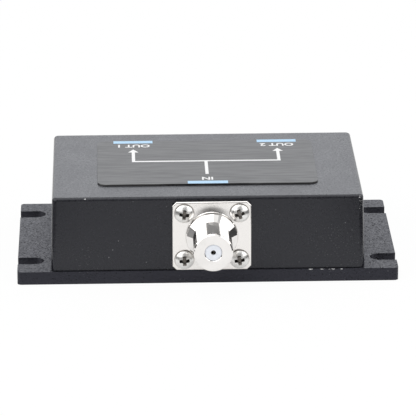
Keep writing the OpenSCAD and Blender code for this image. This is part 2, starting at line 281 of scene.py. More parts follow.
soft_lamp("side_left", (-0.58, -0.25, 0.44), (1.0, 0.64), LAMP_LEVEL)
soft_lamp("side_right", (0.62, -0.18, 0.44), (1.0, 0.64), LAMP_LEVEL)
soft_lamp("overhead", (-0.10, -0.12, 0.78), (0.56, 0.8), LAMP_LEVEL)
soft_lamp("rear", (0, 0.85, 0.40), (1.5, 0.5), REAR_LEVEL, REAR_COLOUR)

# %% [markdown]
# A bright port mirrors the whole room, so the room's dark parts are there as cards, out of view, as a photographer
# would do it: the dark beyond the near edges of the bench and low on the horizon, a card round the camera, one above
# it and a strip between the lamps. Only shiny surfaces see them, so they take no light from the rest.

# %% Dark cards
def dark_card(name, place, size, level):
    """A card of a grey level that faces the object and that only shiny surfaces see."""
    card_finish = bpy.data.materials.new(name)
    tree = Tree(card_finish)
    cloth = tree.node("ShaderNodeBsdfDiffuse", sockets={"Color": grey(level)})
    tree.node("ShaderNodeOutputMaterial", sockets={"Surface": cloth})
    card = add(bpy.ops.mesh.primitive_plane_add, size=1)
    card.name = name
    card.scale = (*size, 1)
    face_bench(card, place)
    card.data.materials.append(card_finish)
    card.visible_camera = card.visible_shadow = card.visible_diffuse = False
    print(name, "of", size, "m")


dark_card("card_left", (-0.24, 0.02, 0.027), (0.17, 0.052), 0.36)
dark_card("card_front_left", (-0.20, -0.14, 0.034), (0.20, 0.066), 0.05)
dark_card("card_right", (0.23, -0.06, 0.027), (0.34, 0.052), 0.05)
dark_card("edge_left", (-0.060, -0.026, 0.012), (0.034, 0.024), 0.36)
dark_card("edge_front_left", (-0.055, -0.062, 0.012), (0.04, 0.024), 0.05)
dark_card("edge_right", (0.056, -0.042, 0.011), (0.055, 0.022), 0.07)
dark_card("edge_front", (0.0, -0.14, 0.016), (0.16, 0.032), 0.06)
dark_card("card_camera", (0.08, -0.95, 0.27), (0.46, 0.36), 0.04)
dark_card("card_above", (0.14, -0.77, 0.66), (0.82, 0.48), 0.32)
dark_card("card_gap", (0.35, -0.08, 0.60), (0.6, 0.11), 0.6)

# %% [markdown]
# ## Modelling by hand, in code
# Each piece starts from a primitive. These helpers add one and put its size and place into its mesh, so that every
# piece is drawn in the part's own frame.

# %% Primitives
def only(piece):
    bpy.ops.object.select_all(action="DESELECT")
    piece.select_set(True)
    bpy.context.view_layer.objects.active = piece


def start(primitive, name, **settings):
    """Add a primitive and put its size and place into its mesh."""
    piece = add(primitive, **settings)
    piece.name = piece.data.name = name
    bpy.ops.object.transform_apply()
    return piece


def block(name, corner, opposite):
    low, high = (Vector(map(pick, corner, opposite)) for pick in (min, max))
    return start(bpy.ops.mesh.primitive_cube_add, name, size=1, location=(low + high) / 2, scale=high - low)


def rod(name, radius, low, high, sides=64):
    """A cylinder from one point to another."""
    low, high = Vector(low), Vector(high)
    turned = (high - low).to_track_quat("Z", "Y").to_euler()
    return start(bpy.ops.mesh.primitive_cylinder_add, name, vertices=sides, radius=radius,
                 depth=(high - low).length, location=(low + high) / 2, rotation=turned)


print("primitives ready")

# %% [markdown]
# Faces and edges are picked by where they lie, as one would click them, and a bevel rounds the picked edges.

# %% Picking and rounding
TOUCH = 0.002 * MM


@contextmanager
def editing(piece):
    only(piece)
    bpy.ops.object.mode_set(mode="EDIT")
    yield
    bpy.ops.object.mode_set(mode="OBJECT")


def choose(piece, kind, test):
    """In edit mode, select the vertices, edges or faces that pass a test."""
    bpy.ops.mesh.select_mode(type=kind)
    bpy.ops.mesh.select_all(action="DESELECT")
    shape = bmesh.from_edit_mesh(piece.data)
    for part in {"VERT": shape.verts, "EDGE": shape.edges, "FACE": shape.faces}[kind]:
        if test(part):
            part.select_set(True)
    bmesh.update_edit_mesh(piece.data)


def upright(edge):
    run = edge.verts[1].co - edge.verts[0].co
    return abs(run.z) > 0.9 * run.length


def at_height(z):
    return lambda part: all(abs(v.co.z - z) < TOUCH for v in part.verts)


def round_edges(piece, test, radius, segments):
    with editing(piece):
        choose(piece, "EDGE", test)
        bpy.ops.mesh.bevel(offset=radius, offset_type="OFFSET", segments=segments, affect="EDGES")


print("picking ready")

# %% [markdown]
# Modifiers are applied at once, so a piece is always a plain mesh. Cuts are exact booleans, which can leave slivers,
# and those are cleared before the rounded edges are smoothed.

# %% Modifiers, cuts and smoothing
SMOOTH_ANGLE = math.radians(21)


def apply(piece, kind, **settings):
    """Add a modifier to a piece, set it and apply it."""
    only(piece)
    modifier = piece.modifiers.new(kind.lower(), kind)
    for name, value in settings.items():
        setattr(modifier, name, value)
    bpy.ops.object.modifier_apply(modifier=modifier.name)


def join(name, pieces):
    only(pieces[0])
    for piece in pieces[1:]:
        piece.select_set(True)
    bpy.ops.object.join()
    joined = bpy.context.object
    joined.name = joined.data.name = name
    return joined


def carve(piece, tool, operation="DIFFERENCE"):
    apply(piece, "BOOLEAN", operation=operation, object=tool, solver="EXACT")
    bpy.data.objects.remove(tool)


def smooth(piece):
    """Clear slivers that cuts left, smooth the rounded edges and keep the flat faces flat."""
    with editing(piece):
        bpy.ops.mesh.select_all(action="SELECT")
        bpy.ops.mesh.dissolve_degenerate(threshold=TOUCH)
    only(piece)
    bpy.ops.object.shade_smooth_by_angle(angle=SMOOTH_ANGLE)
    apply(piece, "WEIGHTED_NORMAL", keep_sharp=True)


print("modifiers ready")

# %% [markdown]
# A turned piece is an outline that is drawn point by point and spun, as on a lathe. What repeats is modelled once and
# copied, and a piece can carry two finishes, told apart by where its faces lie.

# %% Turning and copying
def draw(name, outline):
    """A line through (radius, height) points in the XZ plane, drawn point by point."""
    piece = start(bpy.ops.mesh.primitive_plane_add, name, size=MM)
    with editing(piece):
        bpy.ops.mesh.select_mode(type="VERT")
        bpy.ops.mesh.select_all(action="SELECT")
        bpy.ops.mesh.merge(type="CENTER")
        bpy.ops.transform.translate(value=(outline[0][0], 0, outline[0][1]))
        for (r0, z0), (r1, z1) in zip(outline, outline[1:]):
            bpy.ops.mesh.extrude_vertices_move(TRANSFORM_OT_translate={"value": (r1 - r0, 0, z1 - z0)})
        bpy.ops.mesh.select_all(action="SELECT")
        bpy.ops.mesh.remove_doubles(threshold=TOUCH / 2)
    return piece


def turn(name, outline, steps=96):
    """Spin an outline about the Z axis, as a lathe does."""
    piece = draw(name, outline)
    with editing(piece):
        bpy.ops.mesh.select_all(action="SELECT")
        bpy.ops.mesh.spin(steps=steps, angle=2 * math.pi, center=(0, 0, 0), axis=(0, 0, 1))
        bpy.ops.mesh.select_all(action="SELECT")
        bpy.ops.mesh.remove_doubles(threshold=TOUCH / 2)
        bpy.ops.mesh.normals_make_consistent(inside=False)
    return piece


def moved_copy(piece, name, matrix):
    """A copy with its own mesh, with its place in the mesh."""
    only(piece)
    bpy.ops.object.duplicate()
    copy = bpy.context.object
    copy.name = copy.data.name = name
    copy.matrix_world = matrix
    bpy.ops.object.transform_apply()
    return copy


def two_finishes(piece, first, second, test):
    """Give a piece two finishes, the second one for the faces whose centres pass a test."""
    for name in (first, second):
        piece.data.materials.append(bpy.data.materials.get(name) or bpy.data.materials.new(name))
    for face in piece.data.polygons:
        face.material_index = int(test(*face.center))


def report(piece):
    print(piece.name, len(piece.data.polygons), "faces,", [round(s / MM, 2) for s in piece.dimensions], "mm")


print("modelling helpers ready")

# %% [markdown]
# ## The housing
# The box is a casting: its sides lean in a little so that it leaves the mould, its upright corners and the rim of
# the roof are rounded, and thick end walls carry the ports. It could be lofted, but a cube whose roof is drawn in
# and whose edges are bevelled is the same shape with flat, even faces.

# %% Housing outside
SIDE_DRAFT = math.radians(1.5)
CORNER_RADIUS = 1.2 * MM
ROOF_EDGE_RADIUS = 0.8 * MM
FOOT_EDGE_RADIUS = 0.15 * MM

house_low, house_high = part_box("housing")
house_size = house_high - house_low
housing = block("housing_casting", house_low, house_high)
with editing(housing):
    choose(housing, "FACE", at_height(house_high.z))
    roof_share = 1 - 2 * house_size.z * math.tan(SIDE_DRAFT) / house_size.x
    bpy.ops.transform.resize(value=(roof_share, 1, 1), center_override=(0, 0, house_high.z))
round_edges(housing, upright, CORNER_RADIUS, 8)
round_edges(housing, at_height(house_high.z), ROOF_EDGE_RADIUS, 6)
round_edges(housing, at_height(house_low.z), FOOT_EDGE_RADIUS, 5)
report(housing)

# %% [markdown]
# Inside, the casting has a boss in each corner for the screws of the base plate and four posts under the roof for
# the board. They are easiest to make as gaps in a core, just as a foundry does, and the core is then taken out of
# the box. Holes for the ports and the screws are drilled last, all in one cut.

# %% Housing inside
SIDE_WALL = 3 * MM
PORT_WALL = 4.5 * MM
ROOF_THICKNESS = 2.4 * MM
BOSS_WIDTH = 7 * MM
POST_RADIUS = 3 * MM
OVERRUN = 1 * MM


def corners(x, y):
    return [(i * x, j * y) for i in (-1, 1) for j in (-1, 1)]


core_high = house_high - Vector((SIDE_WALL, PORT_WALL, ROOF_THICKNESS))
core = block("core", (-core_high.x, -core_high.y, house_low.z - OVERRUN), core_high)
for x, y in corners(1, 1):
    outer = Vector((x * (core_high.x + OVERRUN), y * (core_high.y + OVERRUN), core_high.z + OVERRUN))
    inner = Vector((x * (core_high.x - BOSS_WIDTH), y * (core_high.y - BOSS_WIDTH), house_low.z - 2 * OVERRUN))
    boss = block("boss", inner, outer)
    inner_edge = lambda e: upright(e) and all((v.co - inner).xy.length < TOUCH for v in e.verts)
    round_edges(boss, inner_edge, BOSS_WIDTH / 2, 10)
    carve(core, boss)

BOARD_HEAD_RADIUS = 2.25 * MM
board_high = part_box("circuit_board")[1]
board_screw_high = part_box("board_screws")[1]
post_x, post_y = board_screw_high.x - BOARD_HEAD_RADIUS, board_screw_high.y - BOARD_HEAD_RADIUS
for x, y in corners(post_x, post_y):
    carve(core, rod("post", POST_RADIUS, (x, y, board_high.z), (x, y, core_high.z + OVERRUN)))
carve(housing, core)
report(housing)

# %% [markdown]
# The ports' places come from the record's mounts. In a port's own frame +Z points out of the wall and +Y is up, so
# one matrix for each port carries the drills, and later the port's pieces, to its wall.

# %% Ports' frames and drilled holes
ports = {}
for mount in frame["record"]["mounts"]:
    if mount["name"].endswith("_port"):
        outwards = Vector(mount["axis"])
        wall_y = house_high.y if outwards.y > 0 else house_low.y
        foot = Vector((mount["pos_m"][0], wall_y, mount["pos_m"][2]))
        axes = Matrix((Vector((0, 0, 1)).cross(outwards), Vector((0, 0, 1)), outwards)).transposed()
        ports[mount["name"].removesuffix("_port")] = Matrix.Translation(foot) @ axes.to_4x4()

SPIGOT_RADIUS = 4.2 * MM
DROP_GAP = 0.15 * MM
FIT_GAP = 0.05 * MM
FLANGE_SCREW_RADIUS = 1.25 * MM
FLANGE_SCREW_PLACE = (6.6472 * MM, 5.9023 * MM)
TAPPED_DEPTH = 3.9 * MM
COVER_SCREW_RADIUS = 1.5 * MM
COVER_HEAD_RADIUS = 2.8 * MM
BOARD_SCREW_RADIUS = 1.25 * MM
DRILL_RUN = 0.5 * MM

cover_low, cover_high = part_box("cover_screws")
cover_x, cover_y = cover_high.x - COVER_HEAD_RADIUS, cover_high.y - COVER_HEAD_RADIUS
drills = []
for port in ports.values():
    drills.append(rod("drill", SPIGOT_RADIUS + DROP_GAP, port @ Vector((0, 0, OVERRUN)),
                      port @ Vector((0, 0, -PORT_WALL - OVERRUN))))
    for x, y in corners(*FLANGE_SCREW_PLACE):
        drills.append(rod("drill", FLANGE_SCREW_RADIUS + FIT_GAP, port @ Vector((x, y, OVERRUN)),
                          port @ Vector((x, y, -TAPPED_DEPTH)), 24))
for x, y in corners(cover_x, cover_y):
    drills.append(rod("drill", COVER_SCREW_RADIUS + FIT_GAP, (x, y, house_low.z - OVERRUN),
                      (x, y, cover_high.z + DRILL_RUN), 24))
for x, y in corners(post_x, post_y):
    drills.append(rod("drill", BOARD_SCREW_RADIUS + FIT_GAP, (x, y, board_high.z - OVERRUN),
                      (x, y, board_screw_high.z + DRILL_RUN), 24))
hole_count = len(drills)
carve(housing, join("drills", drills))
smooth(housing)
report(housing)
print(hole_count, "holes drilled")

# %% [markdown]
# ## The base plate
# A flat plate closes the box from below, and its two ears carry open slots for mounting screws. The slots could be
# drawn in the outline, but cutting them with a rounded block keeps the plate's corners simple. A bevel over every
# sharp edge then gives the soft edge that the paint has.

# %% Base plate
PLATE_CORNER_RADIUS = 1 * MM
PLATE_EDGE_RADIUS = 0.3 * MM
SLOT_WIDTH = 4.6 * MM
SLOT_DEPTH = 6.4 * MM
SLOT_Y = 17 * MM
NEARLY_HALF = 0.4999
SHARP_ANGLE = math.radians(50)

plate_low, plate_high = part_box("base_plate")
plate = block("base_plate_painted", plate_low, plate_high)
round_edges(plate, upright, PLATE_CORNER_RADIUS, 6)

cutters = []
for side in (-1, 1):
    for y in (-SLOT_Y, SLOT_Y):
        bottom_x = side * (plate_high.x - SLOT_DEPTH)
        open_x = side * (plate_high.x + OVERRUN)
        slot = block("slot", (bottom_x, y - SLOT_WIDTH / 2, plate_low.z - OVERRUN),
                     (open_x, y + SLOT_WIDTH / 2, plate_high.z + OVERRUN))
        at_bottom = lambda e: upright(e) and all(abs(v.co.x - bottom_x) < TOUCH for v in e.verts)
        round_edges(slot, at_bottom, NEARLY_HALF * SLOT_WIDTH, 14)
        cutters.append(slot)

head_r = COVER_HEAD_RADIUS + DROP_GAP
hole_r = COVER_SCREW_RADIUS + DROP_GAP
head_z = cover_low.z
countersink = turn("countersink", [
    (0, plate_low.z - OVERRUN), (head_r, plate_low.z - OVERRUN), (head_r, head_z),
    (hole_r, head_z + COVER_HEAD_RADIUS - COVER_SCREW_RADIUS), (hole_r, plate_high.z + OVERRUN),
    (0, plate_high.z + OVERRUN)], 48)
for x, y in corners(cover_x, cover_y):
    cutters.append(moved_copy(countersink, "countersink_cut", Matrix.Translation((x, y, 0))))
bpy.data.objects.remove(countersink)
carve(plate, join("plate_cutters", cutters))
apply(plate, "BEVEL", width=PLATE_EDGE_RADIUS, segments=5, limit_method="ANGLE", angle_limit=SHARP_ANGLE)
smooth(plate)
report(plate)

# %% [markdown]
# ## The nameplate and its print
# The nameplate is a thin anodised plate with round corners, stuck to the roof. Its marks are plain: a pale blue bar
# beside each port, a short word by each bar and a fork that shows one line becoming two. The print could be painted
# by the plate's finish, but thin shapes stay sharp at any size, so they are a skin of ink on the plate.

# %% Nameplate
INK = 0.03 * MM
LABEL_CORNER_RADIUS = 2.2 * MM
LABEL_EDGE_RADIUS = 0.12 * MM

label_low, label_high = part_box("nameplate")
label_top = label_high.z - INK
label = block("nameplate_brushed", label_low, (label_high.x, label_high.y, label_top))
round_edges(label, upright, LABEL_CORNER_RADIUS, 12)
round_edges(label, at_height(label_top), LABEL_EDGE_RADIUS, 5)
smooth(label)
report(label)

# %% Blue bars
BAR_WIDTH = 9.8 * MM
BAR_DEPTH = 1.9 * MM
IN_BAR_X = 0.3 * MM
OUT_BAR_X = (-17.6 * MM, 18.4 * MM)
EDGE_MARGIN = 0.12 * MM

front_y, back_y = label_low.y + EDGE_MARGIN, label_high.y - EDGE_MARGIN
bars = [block("bar", (IN_BAR_X - BAR_WIDTH / 2, front_y, label_top),
              (IN_BAR_X + BAR_WIDTH / 2, front_y + BAR_DEPTH, label_high.z))]
for x in OUT_BAR_X:
    bars.append(block("bar", (x - BAR_WIDTH / 2, back_y - BAR_DEPTH, label_top),
                      (x + BAR_WIDTH / 2, back_y, label_high.z)))
blue_print = join("nameplate_blue_bars", bars)
report(blue_print)

# %% Words
WORD_SIZE = 2.9 * MM
WORD_GAP = 0.9 * MM
HALF_CAPITAL = WORD_SIZE * 0.36
BOLDER = 0.07 * MM


def word(text, x, y):
    """A printed word that reads from the back of the box, as thick as the ink."""
    made = add(bpy.ops.object.text_add)
    made.data.body = text
    made.data.size = WORD_SIZE
    made.data.align_x = made.data.align_y = "CENTER"
    made.data.extrude = INK / 2
    made.data.offset = BOLDER
    bpy.ops.object.convert(target="MESH")
    made.location = (x, y, label_top + INK / 2)
    made.rotation_euler = (0, 0, math.pi)
    bpy.ops.object.transform_apply()
    return made


marks = [word("IN", IN_BAR_X, front_y + BAR_DEPTH + WORD_GAP + HALF_CAPITAL)]
for number, x in enumerate(OUT_BAR_X, 1):
    marks.append(word(f"OUT {number}", x, back_y - BAR_DEPTH - WORD_GAP - HALF_CAPITAL))
print(len(marks), "words printed")

# %% [markdown]
# The fork starts as a small square where the line splits, and its edges are drawn out from there. One strip drawn in
# this way has clean corners, which bars laid over each other would not have.

# %% Fork
LINE_WIDTH = 0.8 * MM
FORK_Y = 1.5 * MM
FORK_START = -8.5 * MM
FORK_END = 8.6 * MM
ARROW_SIZE = 1.5 * MM

fork = start(bpy.ops.mesh.primitive_plane_add, "fork", size=LINE_WIDTH, location=(IN_BAR_X, FORK_Y, label_top))


def extend(direction, near, run):
    """In edit mode, draw the fork's line on from the edge that faces a direction, nearest to a point."""
    shape = bmesh.from_edit_mesh(fork.data)
    middle = lambda e: (e.verts[0].co + e.verts[1].co) / 2
    facing = [e for e in shape.edges if e.is_boundary
              and abs((e.verts[1].co - e.verts[0].co).dot(direction)) < TOUCH]
    edge = min(facing, key=lambda e: (middle(e) - near - direction * LINE_WIDTH / 2).length)
    choose(fork, "EDGE", lambda e: e.index == edge.index)
    bpy.ops.mesh.extrude_region_move(TRANSFORM_OT_translate={"value": direction * run})


split = Vector((IN_BAR_X, FORK_Y, label_top))
sideways, backwards = Vector((1, 0, 0)), Vector((0, 1, 0))
with editing(fork):
    extend(-backwards, split, FORK_Y - LINE_WIDTH / 2 - FORK_START)
    for side, x in zip((-1, 1), OUT_BAR_X):
        extend(side * sideways, split, abs(x - IN_BAR_X) - LINE_WIDTH)
        bend = Vector((x, FORK_Y, label_top))
        extend(side * sideways, bend - side * sideways * LINE_WIDTH, LINE_WIDTH)
        extend(backwards, bend, FORK_END - FORK_Y - LINE_WIDTH / 2)
flat_marks = [fork]
for x in OUT_BAR_X:
    flat_marks.append(start(bpy.ops.mesh.primitive_circle_add, "arrow", vertices=3, radius=ARROW_SIZE,
                            fill_type="NGON", location=(x, FORK_END + ARROW_SIZE / 2, label_top)))
for mark in flat_marks:
    apply(mark, "SOLIDIFY", thickness=INK, offset=1)
white_print = join("nameplate_white_print", marks + flat_marks)
report(white_print)

# %% [markdown]
# ## The ports
# Each port is one turned and milled body: a flange with cut corners, a plain collar, a cone and a threaded barrel.
# The flange is a drilled block, and the turned part is an outline spun on its axis. The two are joined by a union
# once the thread is cut.

# %% Flange
FLANGE_THICKNESS = 1.2 * MM
FLANGE_CHAMFER = 1 * MM
FLANGE_RIM = 0.3 * MM
BORE_RADIUS = 3.3 * MM

port_low, port_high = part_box("input_connector_body")
flange_x, flange_y = (port_high.x - port_low.x) / 2, (port_high.z - port_low.z) / 2
flange = block("flange", (-flange_x, -flange_y, 0), (flange_x, flange_y, FLANGE_THICKNESS))
round_edges(flange, upright, FLANGE_CHAMFER, 1)
round_edges(flange, at_height(FLANGE_THICKNESS), FLANGE_RIM, 6)
holes = [rod("hole", (BORE_RADIUS + SPIGOT_RADIUS) / 2, (0, 0, -OVERRUN), (0, 0, FLANGE_THICKNESS + OVERRUN))]
for x, y in corners(*FLANGE_SCREW_PLACE):
    holes.append(rod("hole", FLANGE_SCREW_RADIUS + DROP_GAP, (x, y, -OVERRUN),
                     (x, y, FLANGE_THICKNESS + OVERRUN), 32))
carve(flange, join("flange_holes", holes))
report(flange)

# %% Turned body
BARREL_RADIUS = 4.7 * MM
TIP_CHAMFER = 0.28 * MM
COLLAR_RADIUS = 6.1 * MM
COLLAR_END = 2.85 * MM
BARREL_START = 4.1 * MM
ROOT_FILLET = 0.1 * MM
EDGE_BREAK = 0.1 * MM
NOSE_RADIUS = 2.05 * MM
NOSE_THICKNESS = 1.2 * MM

reach = house_low.y - port_low.y
body = turn("connector", [
    (BORE_RADIUS, -PORT_WALL), (BORE_RADIUS, reach - NOSE_THICKNESS), (NOSE_RADIUS, reach - NOSE_THICKNESS),
    (NOSE_RADIUS, reach - EDGE_BREAK), (NOSE_RADIUS + EDGE_BREAK, reach), (BARREL_RADIUS - TIP_CHAMFER, reach),
    (BARREL_RADIUS, reach - TIP_CHAMFER), (BARREL_RADIUS, BARREL_START),
    (COLLAR_RADIUS - EDGE_BREAK, COLLAR_END), (COLLAR_RADIUS, COLLAR_END - EDGE_BREAK),
    (COLLAR_RADIUS, FLANGE_THICKNESS + ROOT_FILLET), (COLLAR_RADIUS + ROOT_FILLET, FLANGE_THICKNESS),
    (COLLAR_RADIUS + ROOT_FILLET, FLANGE_THICKNESS / 2), (SPIGOT_RADIUS, FLANGE_THICKNESS / 2),
    (SPIGOT_RADIUS, -PORT_WALL), (BORE_RADIUS, -PORT_WALL)], 128)
report(body)

# %% [markdown]
# A spin can't give the thread, which climbs as it goes round. So a cutter is drawn as the groove's cross-section,
# carried up a helix by the Screw modifier and cut from the barrel, just as a die cuts it.

# %% Thread
THREAD_PITCH = 25.4 / 32 * MM
THREAD_DEPTH = 0.42 * MM
ROOT_WIDTH = 0.12 * MM
GROOVE_WIDTH = 0.66 * MM
RUN_OUT = 0.44 * MM
RIM_SHARE = 0.9

first_z = BARREL_START + RUN_OUT
outer_r, root_r = BARREL_RADIUS + THREAD_DEPTH / 2, BARREL_RADIUS - THREAD_DEPTH
outer_width = GROOVE_WIDTH + (GROOVE_WIDTH - ROOT_WIDTH) / 2
groove = draw("groove", [(outer_r, first_z - outer_width / 2), (root_r, first_z - ROOT_WIDTH / 2),
                         (root_r, first_z + ROOT_WIDTH / 2), (outer_r, first_z + outer_width / 2),
                         (outer_r, first_z - outer_width / 2)])
turns = math.floor((reach - TIP_CHAMFER - GROOVE_WIDTH / 2 - first_z) / THREAD_PITCH)
apply(groove, "SCREW", axis="Z", screw_offset=THREAD_PITCH, iterations=turns, steps=96, render_steps=96)
with editing(groove):
    bpy.ops.mesh.select_all(action="SELECT")
    bpy.ops.mesh.remove_doubles(threshold=TOUCH / 2)
    bpy.ops.mesh.fill_holes(sides=0)
    bpy.ops.mesh.select_all(action="SELECT")
    bpy.ops.mesh.normals_make_consistent(inside=False)
carve(body, groove)
carve(body, flange, "UNION")
two_finishes(body, "bright_nickel", "satin_nickel",
             lambda x, y, z: abs(z - FLANGE_THICKNESS) < TOUCH and math.hypot(x, y) > COLLAR_RADIUS / 2
             or max(abs(x) / flange_x, abs(y) / flange_y) > RIM_SHARE)
smooth(body)
report(body)

# %% [markdown]
# The insulator is a white bush whose nose fills the hole in the barrel's face. Behind its lip sits the contact, a
# small tube that takes the cable's wire. Both are turned, so they are spun like the body, with broken edges.

# %% Insulator and contact
NOSE_SINK = 0.15 * MM
LIP_THICKNESS = 0.4 * MM
LIP_HOLE_RADIUS = 0.6 * MM
CONTACT_RADIUS = 0.8 * MM
CONTACT_BORE = 0.55 * MM
CONTACT_BORE_DEPTH = 6 * MM
SHOULDER_RADIUS = 1.4 * MM
SHOULDER_THICKNESS = 0.8 * MM
PIN_RADIUS = 0.65 * MM

nose_face = reach - NOSE_SINK
lip_back = nose_face - LIP_THICKNESS
mouth = lip_back - FIT_GAP
bush_back = SHOULDER_THICKNESS - PORT_WALL
bush_r = BORE_RADIUS - FIT_GAP
nose_r = NOSE_RADIUS - FIT_GAP
socket_r = CONTACT_RADIUS + FIT_GAP
step_z = reach - NOSE_THICKNESS
insulator = turn("insulator", [
    (socket_r, bush_back), (bush_r, bush_back), (bush_r, step_z), (nose_r, step_z),
    (nose_r, nose_face - EDGE_BREAK), (nose_r - EDGE_BREAK, nose_face), (LIP_HOLE_RADIUS + EDGE_BREAK, nose_face),
    (LIP_HOLE_RADIUS, nose_face - EDGE_BREAK), (LIP_HOLE_RADIUS, lip_back), (socket_r, lip_back),
    (socket_r, bush_back)], 64)
smooth(insulator)

pin_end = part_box("input_contact")[1].y - house_low.y
contact = turn("contact", [
    (0, -pin_end), (PIN_RADIUS - EDGE_BREAK, -pin_end), (PIN_RADIUS, EDGE_BREAK - pin_end),
    (PIN_RADIUS, -PORT_WALL), (SHOULDER_RADIUS, -PORT_WALL), (SHOULDER_RADIUS, bush_back),
    (CONTACT_RADIUS, bush_back), (CONTACT_RADIUS, mouth - EDGE_BREAK), (CONTACT_RADIUS - EDGE_BREAK, mouth),
    (CONTACT_BORE + EDGE_BREAK / 2, mouth), (CONTACT_BORE, mouth - EDGE_BREAK),
    (CONTACT_BORE, mouth - CONTACT_BORE_DEPTH), (0, mouth - CONTACT_BORE_DEPTH)], 48)
smooth(contact)
report(insulator)
report(contact)

# %% [markdown]
# ## Screws
# Four pan-head screws hold each flange, and four countersunk ones hold the base plate. The cross recess in a head is
# pressed in by a punch, so it is cut here by the punch's shape: two crossed blocks that narrow downwards.

# %% Cross recess
RECESS_TAPER = 0.3
RECESS_SLANT = 0.7


def cross_cutter(top, reach, width, depth):
    """Two crossed blocks that narrow downwards from a height."""
    arms = []
    for quarter in (0, 1):
        arm = block("arm", (-reach, -width / 2, top - depth), (reach, width / 2, top + depth))
        with editing(arm):
            choose(arm, "FACE", at_height(top - depth))
            bpy.ops.transform.resize(value=(RECESS_TAPER, RECESS_SLANT, 1), center_override=(0, 0, top - depth))
        round_edges(arm, upright, width / 4, 3)
        arms.append(moved_copy(arm, "turned_arm", Matrix.Rotation(quarter * math.pi / 2, 4, "Z")))
        bpy.data.objects.remove(arm)
    carve(arms[0], arms[1], "UNION")
    return arms[0]


print("cross cutter ready")

# %% [markdown]
# A pan head is a spun dome over a short rim, on a plain shank. One screw of each kind is modelled and then copied,
# and each copy is turned by its own angle, because no two screws stop at the same one.

# %% One pan-head screw
HEAD_RADIUS = 2.25 * MM
HEAD_HEIGHT = 1.5 * MM
HEAD_RIM = 0.6 * MM
DOME_STEPS = 8
SCREW_LENGTH = 4.6 * MM
RECESS_REACH = 2.15 * MM
RECESS_WIDTH = 1.0 * MM
RECESS_DEPTH = 1.0 * MM
RECESS_LIP = 0.05 * MM

dome_height = HEAD_HEIGHT - HEAD_RIM
dome_radius = (HEAD_RADIUS ** 2 + dome_height ** 2) / (2 * dome_height)
rim_angle = math.asin(HEAD_RADIUS / dome_radius)
dome = []
for step in range(DOME_STEPS, -1, -1):
    angle = rim_angle * step / DOME_STEPS
    dome.append((dome_radius * math.sin(angle), HEAD_HEIGHT - dome_radius * (1 - math.cos(angle))))
pan_screw = turn("pan_screw", [
    (0, -SCREW_LENGTH), (FLANGE_SCREW_RADIUS - 2 * EDGE_BREAK, -SCREW_LENGTH),
    (FLANGE_SCREW_RADIUS, 2 * EDGE_BREAK - SCREW_LENGTH), (FLANGE_SCREW_RADIUS, 0),
    (HEAD_RADIUS - EDGE_BREAK, 0), (HEAD_RADIUS, EDGE_BREAK), *dome], 48)
carve(pan_screw, cross_cutter(HEAD_HEIGHT, RECESS_REACH, RECESS_WIDTH, RECESS_DEPTH))
dome_at = lambda x, y: HEAD_HEIGHT - dome_radius + math.sqrt(dome_radius ** 2 - x * x - y * y)
# The recess walls get a darker metal: painted shade in the recess.
two_finishes(pan_screw, "zinc_plate", "recess_painted_shade",
             lambda x, y, z: HEAD_HEIGHT - RECESS_DEPTH - TOUCH < z < dome_at(x, y) - RECESS_LIP
             and math.hypot(x, y) < HEAD_RADIUS - 2 * EDGE_BREAK)
smooth(pan_screw)
report(pan_screw)

# %% Cover screws
COVER_RECESS = (1.6 * MM, 0.8 * MM, 0.9 * MM)
COVER_LIP = 0.01 * MM
COVER_TURNS = (12, 40, 71, 25)

tip_z = cover_high.z - cover_low.z
cone_z = COVER_HEAD_RADIUS - COVER_SCREW_RADIUS
cover_screw = turn("cover_screw", [
    (0, 0), (COVER_HEAD_RADIUS - EDGE_BREAK, 0), (COVER_HEAD_RADIUS, -EDGE_BREAK / 2),
    (COVER_SCREW_RADIUS, -cone_z), (COVER_SCREW_RADIUS, 3 * EDGE_BREAK - tip_z),
    (COVER_SCREW_RADIUS - 2 * EDGE_BREAK, -tip_z), (0, -tip_z)], 48)
carve(cover_screw, cross_cutter(0, *COVER_RECESS))
# The recess walls get a darker metal: painted shade in the recess.
two_finishes(cover_screw, "zinc_plate", "recess_painted_shade",
             lambda x, y, z: -COVER_RECESS[2] - TOUCH < z < -COVER_LIP
             and math.hypot(x, y) < COVER_SCREW_RADIUS)
smooth(cover_screw)
head_down = Matrix.Rotation(math.pi, 4, "X")
copies = []
for (x, y), degrees in zip(corners(cover_x, cover_y), COVER_TURNS):
    turned = Matrix.Rotation(math.radians(degrees), 4, "Z")
    seat = Matrix.Translation((x, y, cover_low.z)) @ head_down @ turned
    copies.append(moved_copy(cover_screw, "cover_screw_copy", seat))
cover_screws = join("cover_screws_plated", copies)
bpy.data.objects.remove(cover_screw)
report(cover_screws)

# %% [markdown]
# The port's pieces were modelled once, at the origin. Each port now gets its own copy of the body, the bush, the
# contact and the four screws, carried to its wall by the port's matrix, and the patterns are removed.

# %% Copies at the three ports
SCREW_TURNS = {"input": (4, -6, 8, 16), "output_1": (31, 12, -20, 3), "output_2": (-9, 22, 40, -15)}

port_pieces = []
for port_name, port in ports.items():
    copied = {node: moved_copy(pattern, f"{port_name}_{node}_piece", port) for node, pattern in
              (("connector_body", body), ("insulator", insulator), ("contact", contact))}
    screws = []
    for (x, y), degrees in zip(corners(*FLANGE_SCREW_PLACE), SCREW_TURNS[port_name]):
        turned = Matrix.Rotation(math.radians(degrees), 4, "Z")
        seat = port @ Matrix.Translation((x, y, FLANGE_THICKNESS)) @ turned
        screws.append(moved_copy(pan_screw, "flange_screw_copy", seat))
    copied["flange_screws"] = join(f"{port_name}_flange_screws_piece", screws)
    port_pieces += [(piece, f"{port_name}_{node}") for node, piece in copied.items()]
for pattern in (body, insulator, contact, pan_screw):
    bpy.data.objects.remove(pattern)
print(len(port_pieces), "port pieces")

# %% [markdown]
# ## Finishes
# Every finish is a principled shader whose colour, roughness and bump change over the surface by noise in the
# object's own coordinates, in metres. One method wires what varies and sets what doesn't.

